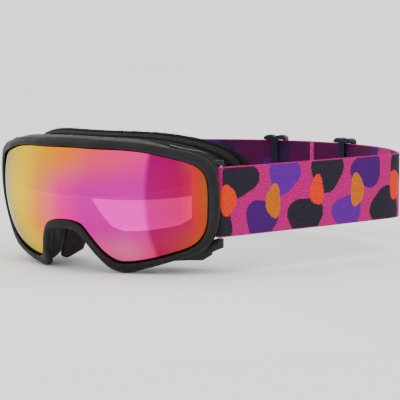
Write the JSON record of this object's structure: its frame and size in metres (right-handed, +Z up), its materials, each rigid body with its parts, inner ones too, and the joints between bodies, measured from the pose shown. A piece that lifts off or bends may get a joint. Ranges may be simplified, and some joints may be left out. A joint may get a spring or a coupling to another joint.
{
  "type": "ski goggles",
  "caption": "Ski goggles: curved mirrored double lens in a vented frame with face foam, on an elastic head strap that swings on side pins and has sliding adjusters.",
  "frame": {"origin": "middle of the whole object's footprint, at the height of the frame's lowest point", "axes": "+Z up, the goggles look along -Y, the strap runs back along +Y, +X is the wearer's left"},
  "size_m": [0.2064, 0.2618, 0.08],
  "materials": {
    "mirror_lens": "multicolour mirror coat, yellow to magenta",
    "clear_lens": "clear tinted, gloss",
    "spacer_foam": "matt",
    "frame_plastic": "fine matt grain",
    "flange_plastic": "matt",
    "vent_foam": "open-cell foam",
    "face_foam": "soft foam",
    "fleece": "short fleece",
    "flap_foam": "soft foam sheet",
    "bracket_plastic": "semi-gloss",
    "pin_steel": "brushed",
    "strap_webbing": "jacquard woven elastic in pink, purple, navy and orange",
    "seam_fabric": "woven tape",
    "slider_plastic": "satin"
  },
  "bodies": {
    "frame": {"outer_lens": "mirror_lens", "inner_lens": "clear_lens", "lens_spacer_gasket": "spacer_foam", "frame_shell": "frame_plastic", "face_flange": "flange_plastic", "vent_foam_top": "vent_foam", "vent_foam_low_left": "vent_foam", "vent_foam_low_right": "vent_foam", "foam_base": "face_foam", "foam_mid": "face_foam", "foam_fleece": "fleece", "nose_flap_left": "flap_foam", "nose_flap_right": "flap_foam", "strap_bracket_left": "bracket_plastic", "strap_bracket_right": "bracket_plastic", "strap_pin_left": "pin_steel", "strap_pin_right": "pin_steel", "strap_sewn_end_left": "strap_webbing", "strap_sewn_end_right": "strap_webbing"},
    "strap": {"strap_band_left": "strap_webbing", "strap_band_right": "strap_webbing", "seam_tape": "seam_fabric"},
    "slider_left_body": {"slider_left": "slider_plastic"},
    "slider_right_body": {"slider_right": "slider_plastic"}
  },
  "joints": [
    {"name": "strap_swing", "type": "hinge", "parent": "frame", "child": "strap", "pos_m": [0, -0.08155, 0.04148], "axis": [1, 0, 0], "range_deg": [-8, 30]},
    {"name": "slider_left_slide", "type": "hinge", "parent": "strap", "child": "slider_left_body", "pos_m": [0, 0.01145, 0.04148], "axis": [0, 0, 1], "range_deg": [-18, 8]},
    {"name": "slider_right_slide", "type": "hinge", "parent": "strap", "child": "slider_right_body", "pos_m": [0, 0.01145, 0.04148], "axis": [0, 0, 1], "range_deg": [-8, 18]}
  ]
}
